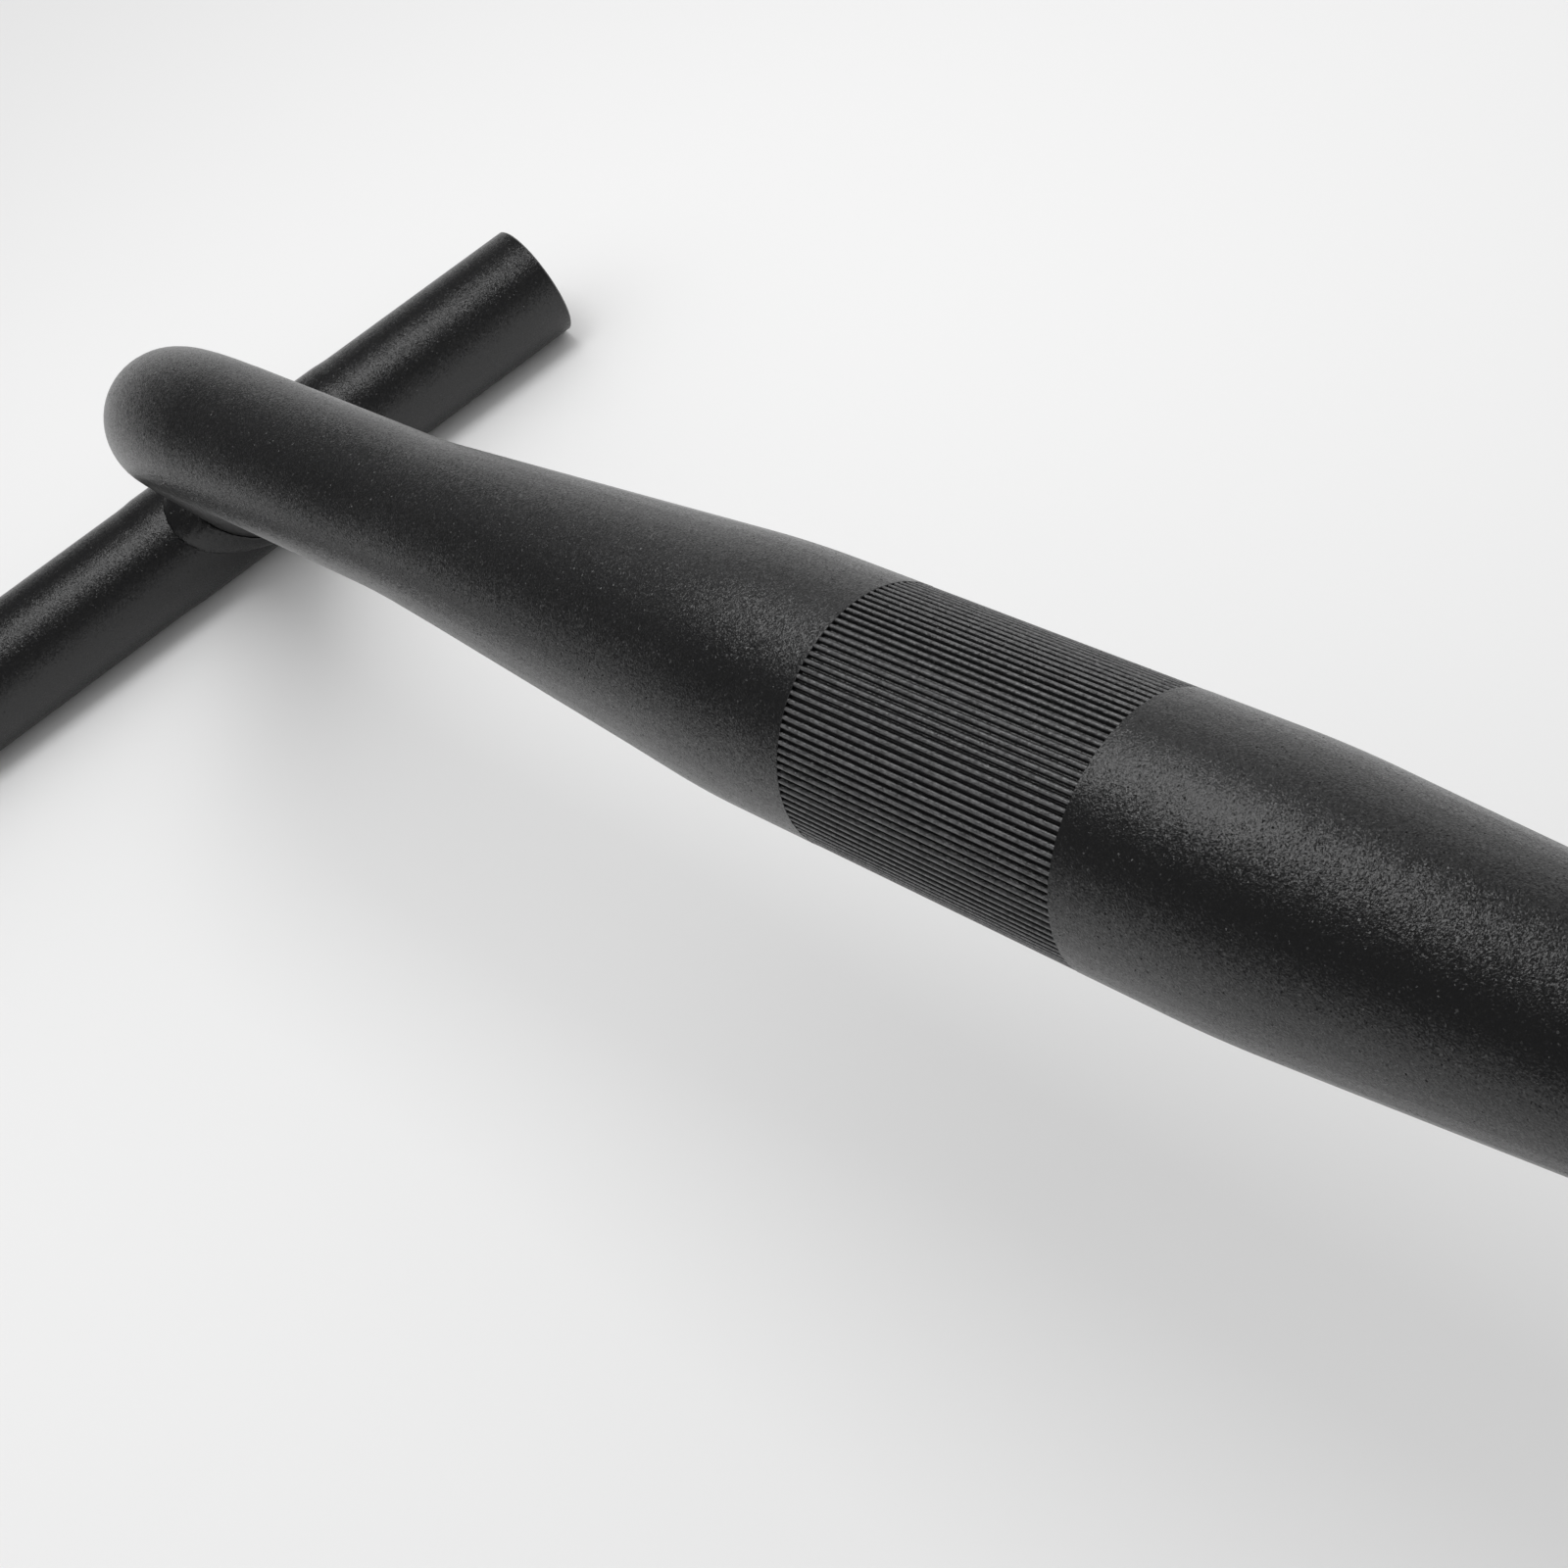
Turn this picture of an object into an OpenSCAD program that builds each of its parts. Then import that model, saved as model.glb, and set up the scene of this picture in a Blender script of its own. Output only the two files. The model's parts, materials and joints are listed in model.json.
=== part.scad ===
// Welded touring handlebar: a swaged centre tube, bent down at both ends and mitred on to two side tubes that
// run fore and aft. X is to the rider's right, Y is forward, Z is up. The origin is the middle of the stem clamp.

/* [Stem clamp] */
// Diameter that the stem clamps
clamp_d = 31.8; // [30:0.1:35]
// Length of the full-thickness part, both sides together
bulge_len = 73; // [60:1:90]
// Width of the grooved band round the clamp
band_w = 38.5; // [20:0.5:50]
// Number of grooves round the band
groove_count = 104; // [60:1:120]
// Width of one groove at the surface
groove_w = 0.46; // [0.3:0.02:0.6]
// Width of the flat bottom of a groove
groove_floor_w = 0.12; // [0.06:0.02:0.3]
// Depth of one groove below the crowns of the lands
groove_depth = 0.45; // [0.3:0.05:0.6]
// Height of a land's rounded crown over its edges
land_crown = 0.12; // [0.04:0.01:0.2]
// Step down from the plain clamp surface to the crowns of the lands
land_step = 0.05; // [0.02:0.01:0.2]

/* [Centre tube] */
// Outer diameter of the grip-size tube
grip_d = 22.2; // [20:0.1:25]
// Wall of the centre tube
centre_wall = 1.6; // [1:0.1:2]
// Length of the taper on each side of the clamp
taper_len = 68; // [40:1:76]
// Radius that rounds both ends of a taper
swage_r = 150; // [50:10:250]

/* [Bends] */
// From the middle of the bar to where a bend begins
bend_start = 149; // [135:1:180]
// Radius of a bend on the tube's axis
bend_r = 45; // [35:1:70]
// Angle that a bend turns through
bend_angle = 48; // [40:1:60]
// Forward lean of the bend from straight down
bend_lean = 24; // [0:1:35]
// Loss of radius where the tube is stretched round a bend
bend_neck = 0.02; // [0.01:0.01:0.1]

/* [Side tubes] */
// How far the side tubes' axes lie below the clamp's axis
side_drop = 64; // [55:1:90]
// Angle by which the side tubes open towards the rider
flare = 12; // [0:1:20]
// From the joint to the front end
horn_len = 66; // [40:1:110]
// From the joint to the rear end
rear_len = 165; // [120:1:220]
// Wall of a side tube
side_wall = 1.4; // [1:0.1:2]
// Gain in radius where a side tube is swelled for its weld
weld_swell = 0.2; // [0.18:0.01:0.5]
// Length of the swelled part, both sides of the joint together
swell_len = 42; // [42:1:60]
// Length over which each end of the swelled part runs out
swell_ramp = 3; // [1:0.5:6]
// Chamfer on the rims of the open ends
rim_chamfer = 0.3; // [0.1:0.1:0.5]

/* [Welds] */
// Height of the bead up the centre tube
bead_up = 3; // [2:0.25:4]
// Spread of the bead over the side tube, beside the centre tube
bead_beside = 1.5; // [1:0.25:3]
// Spread of the bead over the side tube, in front of the centre tube
bead_front = 4; // [2:0.25:5]
// Spread of the bead over the side tube, behind the centre tube
bead_back = 6; // [3:0.25:7]
// Crown of the bead over a straight fillet
bead_crown = 0.5; // [0.3:0.1:1]
// Clearance of the mitre and of the bead from the tubes
mitre_gap = 0.05; // [0.03:0.01:0.1]

/* [Hidden] */
$fn = 96;
coat = [0.12, 0.12, 0.13];
clamp_r = clamp_d / 2;
grip_r = grip_d / 2;
land_r = clamp_r - land_step;
bulge_half = bulge_len / 2;
// The taper's slope, and how far its roundings reach along the bar
taper_angle = atan((clamp_r - grip_r) / taper_len);
swage_reach = swage_r * tan(taper_angle / 2);
swage_steps = 6;
taper_end = bulge_half + taper_len;
// The bend lies in a plane that is turned about the bar's axis
bend_turn = bend_lean - 90;
fall = side_drop / cos(bend_lean);
leg_len = (fall - bend_r * (1 - cos(bend_angle))) / sin(bend_angle);
leg_start_x = bend_start + bend_r * sin(bend_angle);
// The straight parts run this far into a bend
seam = 0.5;
// Directions on the right-hand side: down the leg, and forward along the side tube
leg_dir = [cos(bend_angle), sin(bend_angle) * sin(bend_lean), -sin(bend_angle) * cos(bend_lean)];
side_dir = [-sin(flare), cos(flare), 0];
joint = [leg_start_x + leg_len * cos(bend_angle), fall * sin(bend_lean), -side_drop];
// Across both tubes at the joint, and the two frames that the bead is worked out in
across = cross(leg_dir, side_dir) / norm(cross(leg_dir, side_dir));
leg_side = cross(across, leg_dir);
side_up = cross(across, side_dir);
up_sign = side_up * leg_dir < 0 ? 1 : -1;
joint_r = grip_r + weld_swell;
leg_seat_r = grip_r + mitre_gap;
side_seat_r = joint_r + mitre_gap;
land_steps = 4;
bead_stations = 64;
bead_spread = 4;
bead_arc = 4;

// Outer profile of the swaged part, from a distance from the middle to just inside the bend, as [radius, distance]
function swage_profile(inset, start) = concat(
    [[0, start], [clamp_r - inset, start]],
    [for (i = [0 : swage_steps]) let (a = taper_angle * i / swage_steps)
        [clamp_r - inset - swage_r * (1 - cos(a)), bulge_half - swage_reach + swage_r * sin(a)]],
    [for (i = [swage_steps : -1 : 0]) let (a = taper_angle * i / swage_steps)
        [grip_r - inset + swage_r * (1 - cos(a)), taper_end + swage_reach - swage_r * sin(a)]],
    [[grip_r - inset, bend_start + seam], [0, bend_start + seam]]
);

// The swaged part on the right, thinner by inset, from a distance from the middle
module swaged_half(inset, start) {
    rotate([0, 90, 0])
        rotate_extrude()
            polygon(swage_profile(inset, start));
}

// The bend and the leg below it, on the right
module bend_and_leg(radius) {
    rotate([bend_turn, 0, 0])
        translate([bend_start, bend_r, 0]) {
            rotate([0, 0, -90])
                rotate_extrude(angle = bend_angle)
                    translate([bend_r, 0])
                        circle(r = radius - bend_neck);
            rotate([0, 0, bend_angle - 90])
                translate([bend_r, -seam, 0])
                    rotate([-90, 0, 0])
                        cylinder(r = radius, h = leg_len + seam);
        }
}

// A point on a circle
function polar(r, a) = r * [cos(a), sin(a)];

// The band of fine lengthwise grooves between rounded lands, as a rod
module grooved_band() {
    floor_r = land_r - groove_depth;
    bottom = asin(groove_floor_w / 2 / floor_r);
    pitch = 360 / groove_count;
    land_half = pitch / 2 - asin(groove_w / 2 / land_r);
    rotate([90, 0, 90])
        translate([0, 0, -band_w / 2])
            linear_extrude(band_w)
                polygon([for (i = [0 : groove_count - 1]) let (a = i * pitch) each concat(
                    [polar(floor_r, a - bottom), polar(floor_r, a + bottom)],
                    [for (j = [0 : land_steps]) let (t = 2 * j / land_steps - 1)
                        polar(land_r - land_crown * t * t, a + pitch / 2 + land_half * t)]
                )]);
}

// Its children on the right, and mirrored on the left
module both_sides() {
    children();
    mirror([1, 0, 0]) children();
}

// Places its children, drawn along +Z, along the right side tube with their start at a distance from the joint
module along_side(distance) {
    translate(joint + distance * side_dir)
        rotate([-90, 0, flare])
            children();
}

module centre_tube() {
    color(coat)
        difference() {
            union() {
                grooved_band();
                both_sides() {
                    swaged_half(0, band_w / 2);
                    bend_and_leg(grip_r);
                }
            }
            both_sides() {
                swaged_half(centre_wall, 0);
                bend_and_leg(grip_r - centre_wall);
                along_side(-swell_len / 2)
                    cylinder(r = side_seat_r, h = swell_len);
            }
        }
}

// A straight tube with square-cut open ends, chamfered rims, and a slight swell that carries the weld
module side_tube() {
    length = rear_len + horn_len;
    bore_r = grip_r - side_wall;
    color(coat)
        along_side(-rear_len)
            rotate_extrude()
                polygon([
                    [bore_r + rim_chamfer, 0],
                    [grip_r - rim_chamfer, 0],
                    [grip_r, rim_chamfer],
                    [grip_r, rear_len - swell_len / 2 - swell_ramp],
                    [joint_r, rear_len - swell_len / 2],
                    [joint_r, rear_len + swell_len / 2],
                    [grip_r, rear_len + swell_len / 2 + swell_ramp],
                    [grip_r, length - rim_chamfer],
                    [grip_r - rim_chamfer, length],
                    [bore_r + rim_chamfer, length],
                    [bore_r, length - rim_chamfer],
                    [bore_r, rim_chamfer],
                ]);
}

// A point on the seat round the leg, from the joint, where it meets the seat round the side tube
function root(a) =
    let (
        o = leg_seat_r * (cos(a) * across + sin(a) * leg_side),
        slant = leg_dir * side_dir,
        k = 1 - slant * slant,
        b = (o * side_dir) * slant,
        spare = pow(o * side_dir, 2) + pow(side_seat_r, 2) - pow(leg_seat_r, 2)
    )
    o - leg_dir * ((sqrt(b * b + k * spare) - b) / k);

// A point on the seat round the side tube, spread from the root by a distance away from the leg
function spread(a, distance) =
    let (
        p = root(a),
        along = p * side_dir + distance * sin(a) * (leg_side * side_dir > 0 ? 1 : -1),
        turn = atan2(p * across, p * side_up * up_sign) + distance * cos(a) / side_seat_r * 180 / PI
    )
    along * side_dir + side_seat_r * (cos(turn) * side_up * up_sign + sin(turn) * across);

// How far the bead spreads over the side tube
function bead_out(a) =
    let (reach = sin(a) < 0 ? bead_back : bead_front)
    bead_beside + (reach - bead_beside) * pow(abs(sin(a)), 3);

// A point on the seat round the leg, above the root by a distance
function rise(a, distance) = root(a) - leg_dir * distance;

// One section of the bead: along both seats, then back over the crown
function bead_section(a) =
    let (
        low = spread(a, bead_out(a)),
        high = rise(a, bead_up),
        leg_out = cos(a) * across + sin(a) * leg_side,
        base = root(a),
        side_out = base - (base * side_dir) * side_dir,
        n = leg_out + side_out / norm(side_out),
        out = n / norm(n),
        sunk = max(0, (base - (low + high) / 2) * out)
    )
    concat(
        [for (i = [bead_spread : -1 : 0]) spread(a, bead_out(a) * i / bead_spread)],
        [high],
        [for (i = [bead_arc - 1 : -1 : 1]) let (t = i / bead_arc)
            low * (1 - t) + high * t + out * 4 * t * (1 - t) * (bead_crown + sunk)]
    );

// The fillet of weld round the right-hand joint, as one closed ring of sections
module weld_bead() {
    sections = [for (i = [0 : bead_stations - 1]) bead_section(i * 360 / bead_stations)];
    m = len(sections[0]);
    points = [for (s = sections, p = s) joint + p];
    faces = [for (i = [0 : bead_stations - 1], j = [0 : m - 1])
        let (
            i2 = (i + 1) % bead_stations,
            j2 = (j + 1) % m
        )
        each [
            [i * m + j, i2 * m + j2, i2 * m + j],
            [i * m + j, i * m + j2, i2 * m + j2],
        ]];
    color(coat) polyhedron(points, faces);
}

module left() {
    mirror([1, 0, 0]) children();
}

centre_tube();
left() side_tube();  // left_side_tube
side_tube();  // right_side_tube
left() weld_bead();  // left_weld_bead
weld_bead();  // right_weld_bead
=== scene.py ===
# %% [markdown]
# # A welded touring handlebar in Blender
# The bar's tubes come from an engineering model at their real size. This lesson dresses them: it places
# a camera and a plain pale floor, and it gives the steel its fine matte black powder coat. Each step
# first says what the piece or finish is on a real handlebar, how it could be made, and why it is made
# this way here.

# %% Load the frame
import json
import math

import bpy
from mathutils import Matrix, Vector


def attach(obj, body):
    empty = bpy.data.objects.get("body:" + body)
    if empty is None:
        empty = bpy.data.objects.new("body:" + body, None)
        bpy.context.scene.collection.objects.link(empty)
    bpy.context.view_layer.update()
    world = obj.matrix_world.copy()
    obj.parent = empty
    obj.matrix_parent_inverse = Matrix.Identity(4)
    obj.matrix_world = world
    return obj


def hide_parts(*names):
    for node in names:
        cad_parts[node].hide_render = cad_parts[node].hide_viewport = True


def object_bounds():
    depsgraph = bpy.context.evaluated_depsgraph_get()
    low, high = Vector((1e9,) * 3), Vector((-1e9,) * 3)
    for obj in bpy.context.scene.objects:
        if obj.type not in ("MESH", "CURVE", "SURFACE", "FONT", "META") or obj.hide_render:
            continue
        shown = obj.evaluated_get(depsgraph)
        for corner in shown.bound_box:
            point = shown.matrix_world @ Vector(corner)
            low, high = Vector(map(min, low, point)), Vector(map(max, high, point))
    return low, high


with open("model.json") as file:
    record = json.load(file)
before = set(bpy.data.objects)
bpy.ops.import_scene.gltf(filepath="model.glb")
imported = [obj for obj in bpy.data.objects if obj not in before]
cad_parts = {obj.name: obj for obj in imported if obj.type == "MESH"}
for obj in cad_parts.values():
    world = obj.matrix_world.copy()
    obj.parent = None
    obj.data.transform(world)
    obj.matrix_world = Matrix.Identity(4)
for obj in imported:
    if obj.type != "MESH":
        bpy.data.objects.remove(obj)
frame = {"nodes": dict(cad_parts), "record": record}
cad_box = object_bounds()
print("nodes:", sorted(frame["nodes"]))

# %% [markdown]
# ## Small helpers
# A colour is written the way a paint card gives it, as a hex value, and turned to the linear light that
# a renderer works in. One function adds a node to a material with its settings and its links, so each
# material below reads as a list of what it is made of.

# %% Colour and node helpers
MM = 0.001


def linear(hex_value):
    """Turns an sRGB hex colour such as 1b1b1d into linear red, green, blue and alpha."""
    channels = [int(hex_value[i:i + 2], 16) / 255 for i in (0, 2, 4)]
    return tuple(c / 12.92 if c <= 0.04045 else ((c + 0.055) / 1.055) ** 2.4 for c in channels) + (1.0,)


def add_node(tree, kind, settings=None, values=None, links=None):
    """Adds a node with its settings, the values of its sockets, and the links that feed its sockets."""
    node = tree.nodes.new(kind)
    for name, value in (settings or {}).items():
        setattr(node, name, value)
    for name, value in (values or {}).items():
        node.inputs[name].default_value = value
    for name, source in (links or {}).items():
        tree.links.new(source, node.inputs[name])
    return node


def new_material(name):
    """A material and its node tree, which is still empty."""
    material = bpy.data.materials.new(name)
    material.use_nodes = True
    material.node_tree.nodes.clear()
    return material, material.node_tree


print("middle grey is", round(linear("808080")[0], 3), "in linear light")

# %% [markdown]
# ## Camera
# The picture looks down on the bar from behind its right-hand side, from close by, with the camera
# rolled. A camera could be aimed with a constraint, but then its roll is hard to set. Here its place is
# a point in millimetres and its turn is three plain angles: how far it looks round, how far it looks
# down, and how far it is rolled.

# %% Place the camera
CAMERA_PLACE = Vector((157.2, -106.7, 195.9)) * MM
LOOK_ROUND = math.radians(62.40)
LOOK_DOWN = math.radians(43.92)
ROLL = math.radians(-27.84)
SENSOR_WIDTH = 36.0
LENS = 58.16
NEAREST_SEEN = 0.01

camera_data = bpy.data.cameras.new("camera")
camera_data.sensor_width = SENSOR_WIDTH
camera_data.sensor_fit = "HORIZONTAL"
camera_data.lens = LENS
camera_data.clip_start = NEAREST_SEEN
camera = bpy.data.objects.new("camera", camera_data)
bpy.context.scene.collection.objects.link(camera)
turn = (
    Matrix.Rotation(LOOK_ROUND, 4, "Z")
    @ Matrix.Rotation(math.radians(90) - LOOK_DOWN, 4, "X")
    @ Matrix.Rotation(ROLL, 4, "Z")
)
camera.matrix_world = Matrix.Translation(CAMERA_PLACE) @ turn
bpy.context.scene.camera = camera
print("camera looks along", [round(v, 3) for v in turn @ Vector((0, 0, -1))])

# %% [markdown]
# ## Floor, lamp and surroundings
# The bar lies on a white sweep. Even light from all round does most of the work, so the floor stays
# pale and the shadows soft. A softbox as large as a sheet of paper hangs close over the left half of
# the bar, and the tubes mirror it as one broad sheen. Several lamps would each draw a streak, and a
# large far one would wash the sheen out along the whole bar. The white floor lights the tubes from
# below.

# %% Make the floor
FLOOR_SIZE = 12.0
FLOOR_WHITE = "e8e8e8"
FLOOR_ROUGHNESS = 0.8
FLOOR_SPECULAR = 0.1


def make_floor(height):
    bpy.ops.object.select_all(action="DESELECT")
    bpy.ops.mesh.primitive_plane_add(size=FLOOR_SIZE, location=(0, 0, height))
    floor = bpy.context.active_object
    floor.name = "floor"
    # Matte white card, made of pressed pulp: nearly all light comes back evenly, with the faintest sheen.
    material, tree = new_material("matte_white_card")
    card = add_node(
        tree,
        "ShaderNodeBsdfPrincipled",
        values={
            "Base Color": linear(FLOOR_WHITE),
            "Roughness": FLOOR_ROUGHNESS,
            "Specular IOR Level": FLOOR_SPECULAR,
        },
    )
    add_node(tree, "ShaderNodeOutputMaterial", links={"Surface": card.outputs["BSDF"]})
    floor.data.materials.append(material)


lowest_point = cad_box[0][2]
make_floor(lowest_point)
print("floor at", round(lowest_point / MM, 2), "mm")

# %% Hang the softbox
SOFTBOX_PLACE = (-0.17, 0.052, 0.35)
SOFTBOX_SIZE = (0.17, 0.26)
SOFTBOX_WATTS = 0.63

softbox_data = bpy.data.lights.new("softbox", "AREA")
softbox_data.shape = "RECTANGLE"
softbox_data.size = SOFTBOX_SIZE[0]
softbox_data.size_y = SOFTBOX_SIZE[1]
softbox_data.energy = SOFTBOX_WATTS
softbox = bpy.data.objects.new("softbox", softbox_data)
softbox.location = SOFTBOX_PLACE
bpy.context.scene.collection.objects.link(softbox)
print("softbox", round(SOFTBOX_PLACE[2] / MM), "mm above the clamp")

# %% [markdown]
# What the tubes mirror is a studio with pale walls behind and in front of the bar, and a dark ceiling
# that comes lower at both sides and over the rider's place. They show that darkness as a stripe between
# their sheen and their lower edge, and without the stripe a black tube looks flat and grey. A panorama
# could give the same mirroring, but its shapes would show in the sheen. Here one smooth ramp by
# direction leads from wall to ceiling.

# %% The studio that the tubes mirror
WALL_COLOUR = "eaeaea"
CEILING_COLOUR = "646464"
CEILING_SLOPE = (0.0, -0.33, 0.93)
CEILING_SIDES = (0.25, 0.0, 0.0)
CEILING_EDGE = (0.12, 0.58)


def mirrored_studio(tree):
    """The light of walls and ceiling, by how far overhead a direction points."""
    direction = add_node(tree, "ShaderNodeTexCoord").outputs["Generated"]
    slope = add_node(
        tree,
        "ShaderNodeVectorMath",
        settings={"operation": "DOT_PRODUCT"},
        values={1: CEILING_SLOPE},
        links={0: direction},
    )
    either_side = add_node(
        tree,
        "ShaderNodeVectorMath",
        settings={"operation": "ABSOLUTE"},
        links={0: direction},
    )
    sides = add_node(
        tree,
        "ShaderNodeVectorMath",
        settings={"operation": "DOT_PRODUCT"},
        values={1: CEILING_SIDES},
        links={0: either_side.outputs["Vector"]},
    )
    overhead = add_node(
        tree,
        "ShaderNodeMath",
        settings={"operation": "ADD"},
        links={0: slope.outputs["Value"], 1: sides.outputs["Value"]},
    )
    edge = add_node(
        tree,
        "ShaderNodeMapRange",
        settings={"interpolation_type": "SMOOTHSTEP"},
        values={"From Min": CEILING_EDGE[0], "From Max": CEILING_EDGE[1]},
        links={"Value": overhead.outputs["Value"]},
    )
    ramp = add_node(tree, "ShaderNodeValToRGB", links={"Fac": edge.outputs["Result"]})
    ramp.color_ramp.elements[0].color = linear(WALL_COLOUR)
    ramp.color_ramp.elements[1].color = linear(CEILING_COLOUR)
    studio = add_node(tree, "ShaderNodeBackground", links={"Color": ramp.outputs["Color"]})
    return studio.outputs["Background"]


print("ceiling", CEILING_COLOUR, "over walls", WALL_COLOUR)

# %% [markdown]
# The picture's own background is plain and pale, and what fills in the shadows is even light. Both
# could come from one colour, but then a paler background would also light the bar more. The kind of ray
# tells them apart.

# %% Make the surroundings
BACKGROUND_COLOUR = "d6d6d6"
FILL_COLOUR = "ffffff"
FILL_STRENGTH = 0.86


def make_surroundings():
    world = bpy.data.worlds.new("surroundings")
    bpy.context.scene.world = world
    world.use_nodes = True
    tree = world.node_tree
    tree.nodes.clear()
    plain = add_node(tree, "ShaderNodeBackground", values={"Color": linear(BACKGROUND_COLOUR)})
    fill = add_node(
        tree,
        "ShaderNodeBackground",
        values={"Color": linear(FILL_COLOUR), "Strength": FILL_STRENGTH},
    )
    path = add_node(tree, "ShaderNodeLightPath")
    mirrored = add_node(
        tree,
        "ShaderNodeMixShader",
        links={
            0: path.outputs["Is Glossy Ray"],
            1: fill.outputs["Background"],
            2: mirrored_studio(tree),
        },
    )
    seen = add_node(
        tree,
        "ShaderNodeMath",
        settings={"operation": "MAXIMUM"},
        links={0: path.outputs["Is Camera Ray"], 1: path.outputs["Is Transmission Ray"]},
    )
    surroundings = add_node(
        tree,
        "ShaderNodeMixShader",
        links={
            0: seen.outputs["Value"],
            1: mirrored.outputs["Shader"],
            2: plain.outputs["Background"],
        },
    )
    add_node(tree, "ShaderNodeOutputWorld", links={"Surface": surroundings.outputs["Shader"]})


make_surroundings()
bpy.context.scene.view_settings.view_transform = "Standard"
print("background", BACKGROUND_COLOUR, "with fill light", FILL_STRENGTH)

# %% [markdown]
# ## Powder coat
# The bar is welded chromoly steel under a matte black powder coat. The powder is sprayed on dry and
# baked, and flows into a skin about a tenth of a millimetre thick. A matte powder keeps a fine grain:
# low bumps, each one a tiny curved mirror, so the sheen breaks up into specks where a lamp is reflected
# and stays velvet elsewhere. A rougher shader alone gives an even sheen without specks. Here the shader
# is fairly smooth and the bumps spread it. The real grain is about a quarter of a millimetre wide, and
# it is drawn at that size. A few flecks lean far more than the rest, as single grains do that stand up
# out of the skin, and they glint in the dark stripe.

# %% Grain of the coat
GRAIN_SIZE = 0.24 * MM
GRAIN_DETAIL = 2.0
GRAIN_ROUGHNESS = 0.6
GRAIN_HEIGHT = 0.06 * MM
FLECK_SIZE = 0.20 * MM
FLECK_TILT = 0.22
GLINT_TILT = 1.0
GLINT_SHARE = 0.08
MIDDLE = (0.5, 0.5, 0.5)


def coat_grain(tree, place, under=None):
    """The coat's normal over the one under it: soft bumps, and flecks that each lean their own way."""
    grain = add_node(
        tree,
        "ShaderNodeTexNoise",
        values={"Scale": 1 / GRAIN_SIZE, "Detail": GRAIN_DETAIL, "Roughness": GRAIN_ROUGHNESS},
        links={"Vector": place},
    )
    bump = add_node(
        tree,
        "ShaderNodeBump",
        values={"Strength": 1.0, "Distance": GRAIN_HEIGHT},
        links={"Height": grain.outputs["Fac"]},
    )
    if under is not None:
        tree.links.new(under, bump.inputs["Normal"])
    fleck = add_node(
        tree,
        "ShaderNodeTexVoronoi",
        values={"Scale": 1 / FLECK_SIZE, "Randomness": 1.0},
        links={"Vector": place},
    )
    centred = add_node(
        tree,
        "ShaderNodeVectorMath",
        settings={"operation": "SUBTRACT"},
        values={1: MIDDLE},
        links={0: fleck.outputs["Color"]},
    )
    chance = add_node(tree, "ShaderNodeTexWhiteNoise", links={"Vector": fleck.outputs["Position"]})
    tilt = add_node(
        tree,
        "ShaderNodeMapRange",
        values={
            "From Min": 1 - GLINT_SHARE,
            "From Max": 1.0,
            "To Min": FLECK_TILT,
            "To Max": GLINT_TILT,
        },
        links={"Value": chance.outputs["Value"]},
    )
    lean = add_node(
        tree,
        "ShaderNodeVectorMath",
        settings={"operation": "SCALE"},
        links={0: centred.outputs["Vector"], "Scale": tilt.outputs["Result"]},
    )
    turned = add_node(
        tree,
        "ShaderNodeVectorMath",
        settings={"operation": "ADD"},
        links={0: bump.outputs["Normal"], 1: lean.outputs["Vector"]},
    )
    normal = add_node(
        tree,
        "ShaderNodeVectorMath",
        settings={"operation": "NORMALIZE"},
        links={0: turned.outputs["Vector"]},
    )
    return normal.outputs["Vector"]


print("grain", round(GRAIN_SIZE / MM, 2), "mm wide, flecks", round(FLECK_SIZE / MM, 2), "mm")

# %% [markdown]
# The coat itself is one shader with a near-black colour. Every material below adds it to its own tree,
# so that the beads, the clamp and the tubes have the same black and the same grain, and each adds only
# what differs.

# %% Shader of the coat
COAT_BLACK = "0d0d0e"
COAT_ROUGHNESS = 0.29
COAT_SPECULAR = 0.60


def add_coat(tree, place, under=None, tint=None):
    """The coat's shader. A normal under it shows through, and a tint takes the place of its black."""
    # Matte black polyester powder baked on steel: a near-black body under a broken, velvet sheen.
    coat = add_node(
        tree,
        "ShaderNodeBsdfPrincipled",
        values={
            "Base Color": linear(COAT_BLACK),
            "Roughness": COAT_ROUGHNESS,
            "Specular IOR Level": COAT_SPECULAR,
        },
        links={"Normal": coat_grain(tree, place, under)},
    )
    if tint is not None:
        tree.links.new(tint, coat.inputs["Base Color"])
    return coat.outputs["BSDF"]


def dress(piece, material):
    """Puts one material in every slot of a piece."""
    if not piece.data.materials:
        piece.data.materials.append(material)
    for slot in piece.material_slots:
        slot.material = material


print("coat", COAT_BLACK, "with roughness", COAT_ROUGHNESS)

# %% [markdown]
# ## Weld beads
# The bead round each joint is laid by hand, one drop of steel beside the next. It flows on to both
# tubes without an edge, and the coat rounds it further. The engineering model has the bead's size and
# place, but with sharp toes. Here its mesh is copied, swollen a little so that its toes sink into the
# tubes, rebuilt in fine even faces, and smoothed. A bevel would only round the toes, which would then
# stand clear of the tubes as a visible step.

# %% Round the weld beads
WELD_MERGE = 0.001 * MM
WELD_SWELL = 0.20 * MM
WELD_GRID = 0.30 * MM
WELD_SMOOTHING = 16


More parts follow.
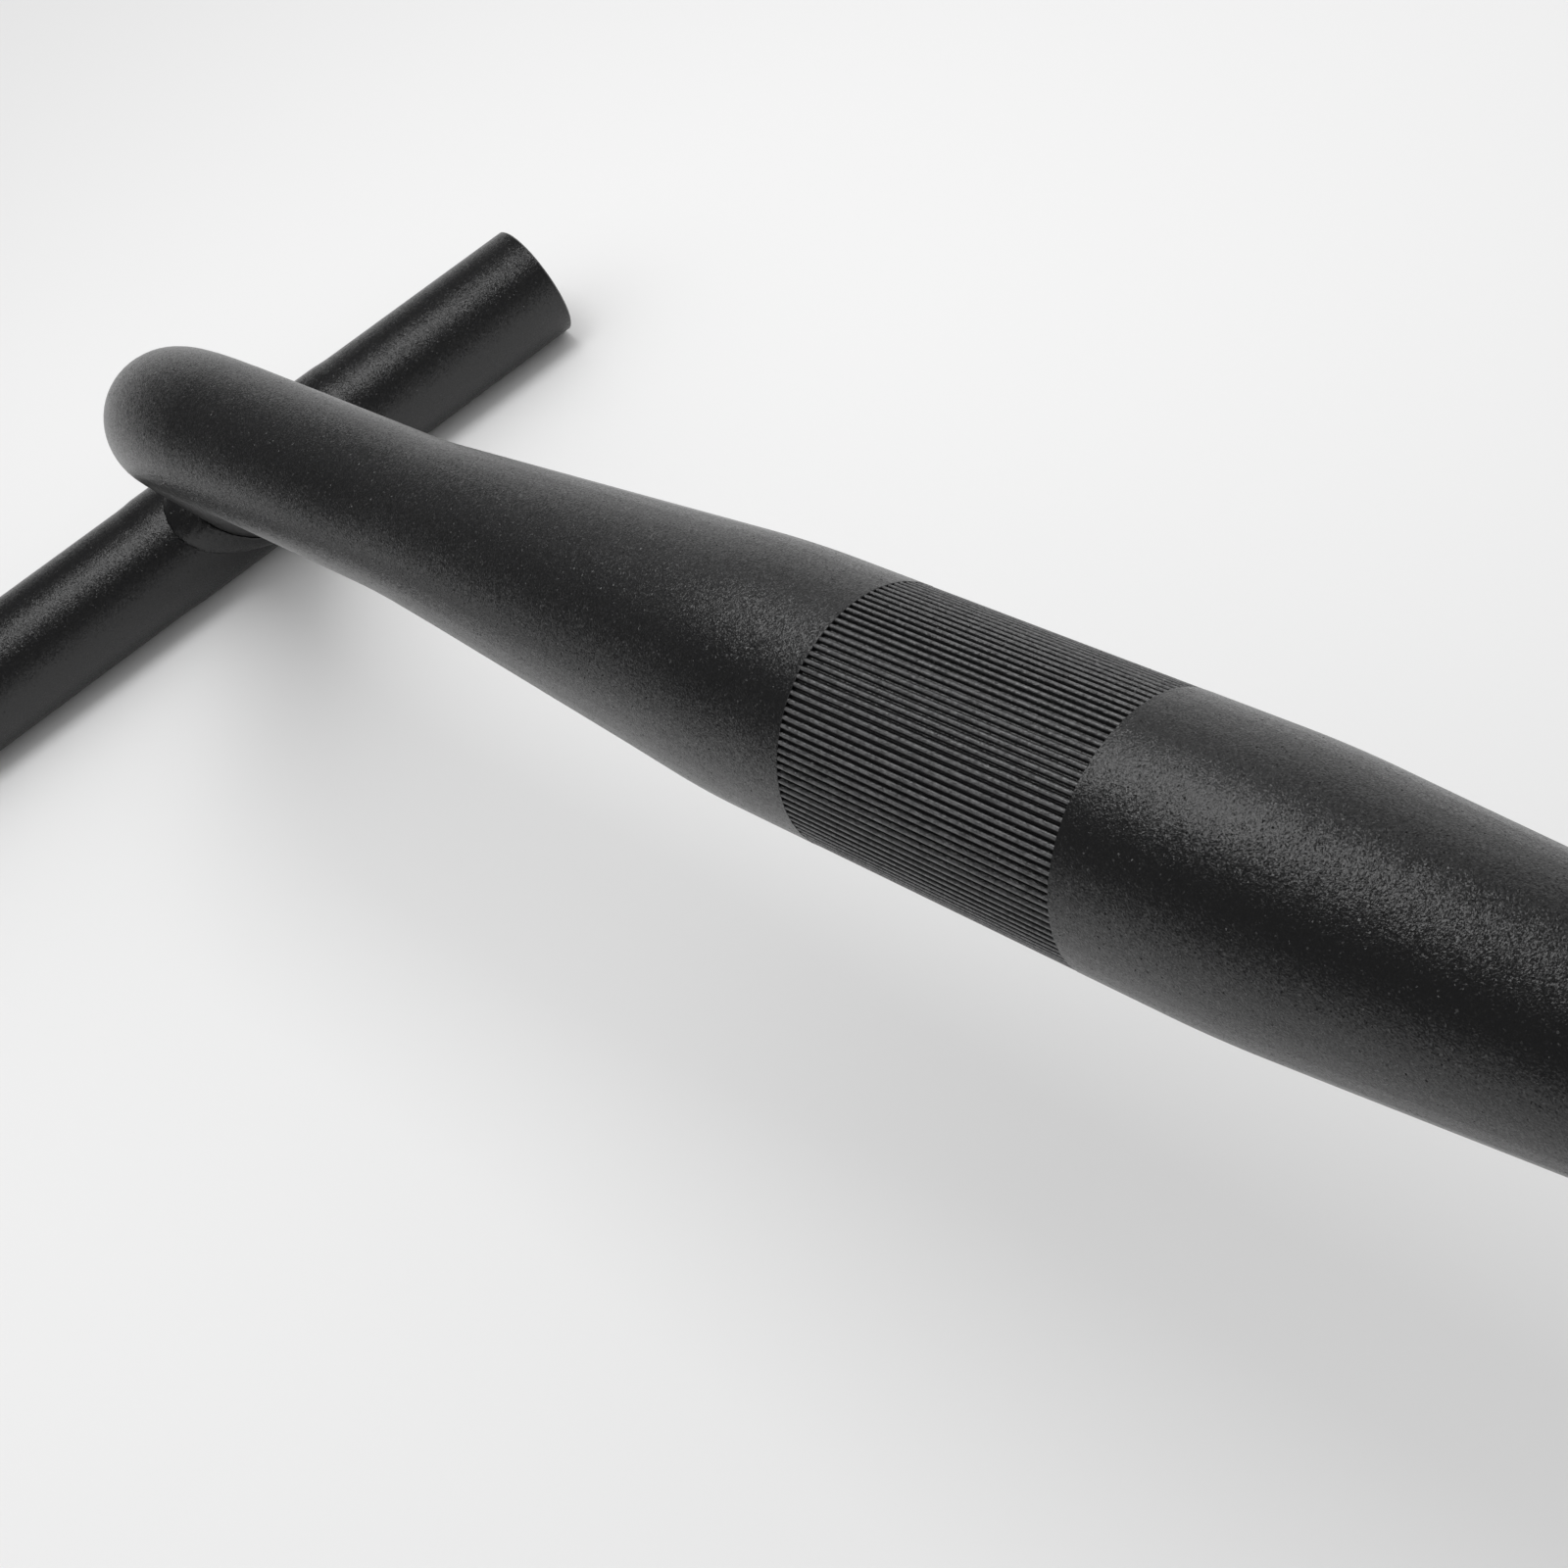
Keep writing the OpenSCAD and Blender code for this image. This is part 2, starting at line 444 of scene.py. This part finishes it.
def round_weld(side_name):
    source = frame["nodes"][side_name + "_weld_bead"]
    weld = bpy.data.objects.new(side_name + "_weld", source.data.copy())
    bpy.context.scene.collection.objects.link(weld)
    bpy.ops.object.select_all(action="DESELECT")
    bpy.context.view_layer.objects.active = weld
    weld.select_set(True)
    bpy.ops.object.mode_set(mode="EDIT")
    bpy.ops.mesh.select_all(action="SELECT")
    bpy.ops.mesh.remove_doubles(threshold=WELD_MERGE)
    bpy.ops.object.mode_set(mode="OBJECT")
    swell = weld.modifiers.new("swell", "DISPLACE")
    swell.strength = WELD_SWELL
    swell.mid_level = 0.0
    grid = weld.modifiers.new("grid", "REMESH")
    grid.mode = "VOXEL"
    grid.voxel_size = WELD_GRID
    smooth = weld.modifiers.new("smooth", "SMOOTH")
    smooth.iterations = WELD_SMOOTHING
    for name in ("swell", "grid", "smooth"):
        bpy.ops.object.modifier_apply(modifier=name)
    bpy.ops.object.shade_smooth()
    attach(weld, "root")
    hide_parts(side_name + "_weld_bead")
    return weld


welds = {side_name: round_weld(side_name) for side_name in ("left", "right")}
print("welds:", {name: len(weld.data.polygons) for name, weld in welds.items()}, "faces")

# %% [markdown]
# Each drop leaves a ripple across the bead. The coat covers all but a trace of them, so they are drawn
# as a very low bump that repeats by the angle round the leg of the centre tube, instead of being
# modelled one by one.

# %% Weld material
# Where the right leg meets its side tube, and how the leg runs there, as the engineering model has them.
JOINT = Vector((232.1, 28.5, -64.0)) * MM
LEG_ANGLE = math.radians(48)
LEG_LEAN = math.radians(24)
UP = Vector((0, 0, 1))
RIPPLE_COUNT = 48
RIPPLE_HEIGHT = 0.02 * MM


def weld_ripples(tree, place, side):
    """The normal of ripples round the leg on one side: 1 is the right, -1 the left."""
    leg = Vector((
        side * math.cos(LEG_ANGLE),
        math.sin(LEG_ANGLE) * math.sin(LEG_LEAN),
        -math.sin(LEG_ANGLE) * math.cos(LEG_LEAN),
    ))
    across = leg.cross(UP).normalized()
    offset = add_node(
        tree,
        "ShaderNodeVectorMath",
        settings={"operation": "SUBTRACT"},
        values={1: (side * JOINT.x, JOINT.y, JOINT.z)},
        links={0: place},
    )
    reach = [
        add_node(
            tree,
            "ShaderNodeVectorMath",
            settings={"operation": "DOT_PRODUCT"},
            values={1: way},
            links={0: offset.outputs["Vector"]},
        )
        for way in (across, leg.cross(across))
    ]
    angle = add_node(
        tree,
        "ShaderNodeMath",
        settings={"operation": "ARCTAN2"},
        links={0: reach[0].outputs["Value"], 1: reach[1].outputs["Value"]},
    )
    turns = add_node(
        tree,
        "ShaderNodeMath",
        settings={"operation": "MULTIPLY"},
        values={1: RIPPLE_COUNT},
        links={0: angle.outputs["Value"]},
    )
    wave = add_node(
        tree,
        "ShaderNodeMath",
        settings={"operation": "SINE"},
        links={0: turns.outputs["Value"]},
    )
    bump = add_node(
        tree,
        "ShaderNodeBump",
        values={"Strength": 1.0, "Distance": RIPPLE_HEIGHT},
        links={"Height": wave.outputs["Value"]},
    )
    return bump.outputs["Normal"]


def coat_weld(side_name, side):
    # The same coat over a bead of weld steel: the trace of its ripples makes the sheen slightly uneven.
    material, tree = new_material("matte_powder_coat_on_" + side_name + "_weld")
    place = add_node(tree, "ShaderNodeTexCoord").outputs["Object"]
    coat = add_coat(tree, place, under=weld_ripples(tree, place, side))
    add_node(tree, "ShaderNodeOutputMaterial", links={"Surface": coat})
    dress(welds[side_name], material)


coat_weld("left", -1)
coat_weld("right", 1)
print("weld beads coated,", RIPPLE_COUNT, "ripples each")

# %% [markdown]
# ## The clamp's grooved band
# Fine grooves are pressed into the clamp so that a stem grips it. The lands between them are round on
# top. Powder builds up on edges and stays thin in grooves. The grooves are real steps in the mesh. Only
# the crowns are drawn paler, in patches: a painted highlight, for the brighter sheen that the lands
# catch. They could be painted by hand, but how far a point lies from the axis finds all of them at once.

# %% How far a point lies from an axis
def from_axis(tree, place, point, axis):
    """How far a place lies from the line through a point along an axis."""
    offset = add_node(
        tree,
        "ShaderNodeVectorMath",
        settings={"operation": "SUBTRACT"},
        values={1: point},
        links={0: place},
    )
    across = add_node(
        tree,
        "ShaderNodeVectorMath",
        settings={"operation": "CROSS_PRODUCT"},
        values={1: axis},
        links={0: offset.outputs["Vector"]},
    )
    length = add_node(
        tree,
        "ShaderNodeVectorMath",
        settings={"operation": "LENGTH"},
        links={0: across.outputs["Vector"]},
    )
    return length.outputs["Value"]


print("the clamp's axis runs through the origin along X")

# %% Centre tube material
CLAMP_POINT = (0, 0, 0)
CLAMP_AXIS = (1, 0, 0)
# The crowns' radius and the band's width are the engineering model's.
CROWN_RADIUS = 15.85 * MM
CROWN_DEPTH = 0.16 * MM
BAND_HALF_WIDTH = 19.25 * MM
# Painted highlight: the crowns are drawn in this paler grey for the brighter sheen on the lands.
CROWN_HIGHLIGHT_GREY = "5a5a5b"
# A patch of painted highlight is as wide as two or three grains.
HIGHLIGHT_PATCH_SIZE = 0.5 * MM
HIGHLIGHT_PATCH_DETAIL = 2.0
HIGHLIGHT_PATCH_RANGE = (0.35, 0.65)
HIGHLIGHT_PATCH_LEAST = 0.35


def painted_highlight_crowns(tree, place):
    """The coat's colour, paler in patches on the crowns of the lands: a painted highlight."""
    crown = add_node(
        tree,
        "ShaderNodeMapRange",
        settings={"interpolation_type": "SMOOTHSTEP"},
        values={"From Min": CROWN_RADIUS - CROWN_DEPTH, "From Max": CROWN_RADIUS},
        links={"Value": from_axis(tree, place, CLAMP_POINT, CLAMP_AXIS)},
    )
    parts = add_node(tree, "ShaderNodeSeparateXYZ", links={"Vector": place})
    in_band = add_node(
        tree,
        "ShaderNodeMath",
        settings={"operation": "COMPARE"},
        values={1: 0.0, 2: BAND_HALF_WIDTH},
        links={0: parts.outputs["X"]},
    )
    crowns = add_node(
        tree,
        "ShaderNodeMath",
        settings={"operation": "MULTIPLY"},
        links={0: crown.outputs["Result"], 1: in_band.outputs["Value"]},
    )
    patches = add_node(
        tree,
        "ShaderNodeTexNoise",
        values={"Scale": 1 / HIGHLIGHT_PATCH_SIZE, "Detail": HIGHLIGHT_PATCH_DETAIL},
        links={"Vector": place},
    )
    highlight_share = add_node(
        tree,
        "ShaderNodeMapRange",
        values={
            "From Min": HIGHLIGHT_PATCH_RANGE[0],
            "From Max": HIGHLIGHT_PATCH_RANGE[1],
            "To Min": HIGHLIGHT_PATCH_LEAST,
            "To Max": 1.0,
        },
        links={"Value": patches.outputs["Fac"]},
    )
    crown_highlight = add_node(
        tree,
        "ShaderNodeMath",
        settings={"operation": "MULTIPLY"},
        links={0: crowns.outputs["Value"], 1: highlight_share.outputs["Result"]},
    )
    # Painted highlight: coat black in the grooves, the paler grey on the crowns.
    tint = add_node(tree, "ShaderNodeValToRGB", links={"Fac": crown_highlight.outputs["Value"]})
    tint.color_ramp.elements[0].color = linear(COAT_BLACK)
    tint.color_ramp.elements[1].color = linear(CROWN_HIGHLIGHT_GREY)
    return tint.outputs["Color"]


def coat_centre_tube():
    # The same coat with a painted highlight: the crowns are a patchy, paler grey, and the grooves stay
    # black.
    material, tree = new_material("matte_powder_coat_painted_highlight_lands")
    place = add_node(tree, "ShaderNodeTexCoord").outputs["Object"]
    coat = add_coat(tree, place, tint=painted_highlight_crowns(tree, place))
    add_node(tree, "ShaderNodeOutputMaterial", links={"Surface": coat})
    dress(frame["nodes"]["centre_tube"], material)


coat_centre_tube()
print("centre tube coated, crowns", round(CROWN_DEPTH / MM, 2), "mm deep")

# %% [markdown]
# ## Side tubes
# The coat wraps round the rims of the open ends and thins out inside, where the spray hardly reaches:
# the bore is bare drawn steel, dulled by baking. The bore's faces could be picked out and given a
# material of their own, but then the coat would end along the edges of the mesh. Each bore has its
# place and direction in the record, so here the coat ends at a distance from the bore's axis.

# %% Side tube material
BORE_EDGE = 0.10 * MM
STEEL_SHADES = ("86817a", "aaa69e")
STEEL_ROUGHNESS = 0.45
# Baking leaves clouds a few millimetres wide on the steel.
MILL_SIZE = 3 * MM
MILL_DETAIL = 3.0


def bare_steel(tree, place):
    # Drawn chromoly steel, dulled by baking: a grey, cloudy, half-blurred mirror.
    mill = add_node(
        tree,
        "ShaderNodeTexNoise",
        values={"Scale": 1 / MILL_SIZE, "Detail": MILL_DETAIL},
        links={"Vector": place},
    )
    tone = add_node(tree, "ShaderNodeValToRGB", links={"Fac": mill.outputs["Fac"]})
    tone.color_ramp.elements[0].color = linear(STEEL_SHADES[0])
    tone.color_ramp.elements[1].color = linear(STEEL_SHADES[1])
    steel = add_node(
        tree,
        "ShaderNodeBsdfPrincipled",
        values={"Metallic": 1.0, "Roughness": STEEL_ROUGHNESS},
        links={"Base Color": tone.outputs["Color"]},
    )
    return steel.outputs["BSDF"]


def coat_side_tube(side_name):
    # The same coat outside, and bare drawn steel inside: a black skin round a dull grey hollow.
    mount = next(m for m in frame["record"]["mounts"] if m["name"] == side_name + "_tube_bore")
    material, tree = new_material("matte_powder_coat_" + side_name + "_tube")
    place = add_node(tree, "ShaderNodeTexCoord").outputs["Object"]
    inside = add_node(
        tree,
        "ShaderNodeMath",
        settings={"operation": "LESS_THAN"},
        values={1: mount["dims"]["r_mm"] * MM + BORE_EDGE},
        links={0: from_axis(tree, place, mount["pos_m"], mount["axis"])},
    )
    surface = add_node(
        tree,
        "ShaderNodeMixShader",
        links={0: inside.outputs["Value"], 1: add_coat(tree, place), 2: bare_steel(tree, place)},
    )
    add_node(tree, "ShaderNodeOutputMaterial", links={"Surface": surface.outputs["Shader"]})
    dress(frame["nodes"][side_name + "_side_tube"], material)


for side_name in ("left", "right"):
    coat_side_tube(side_name)
print("side tubes coated outside, bare steel inside")
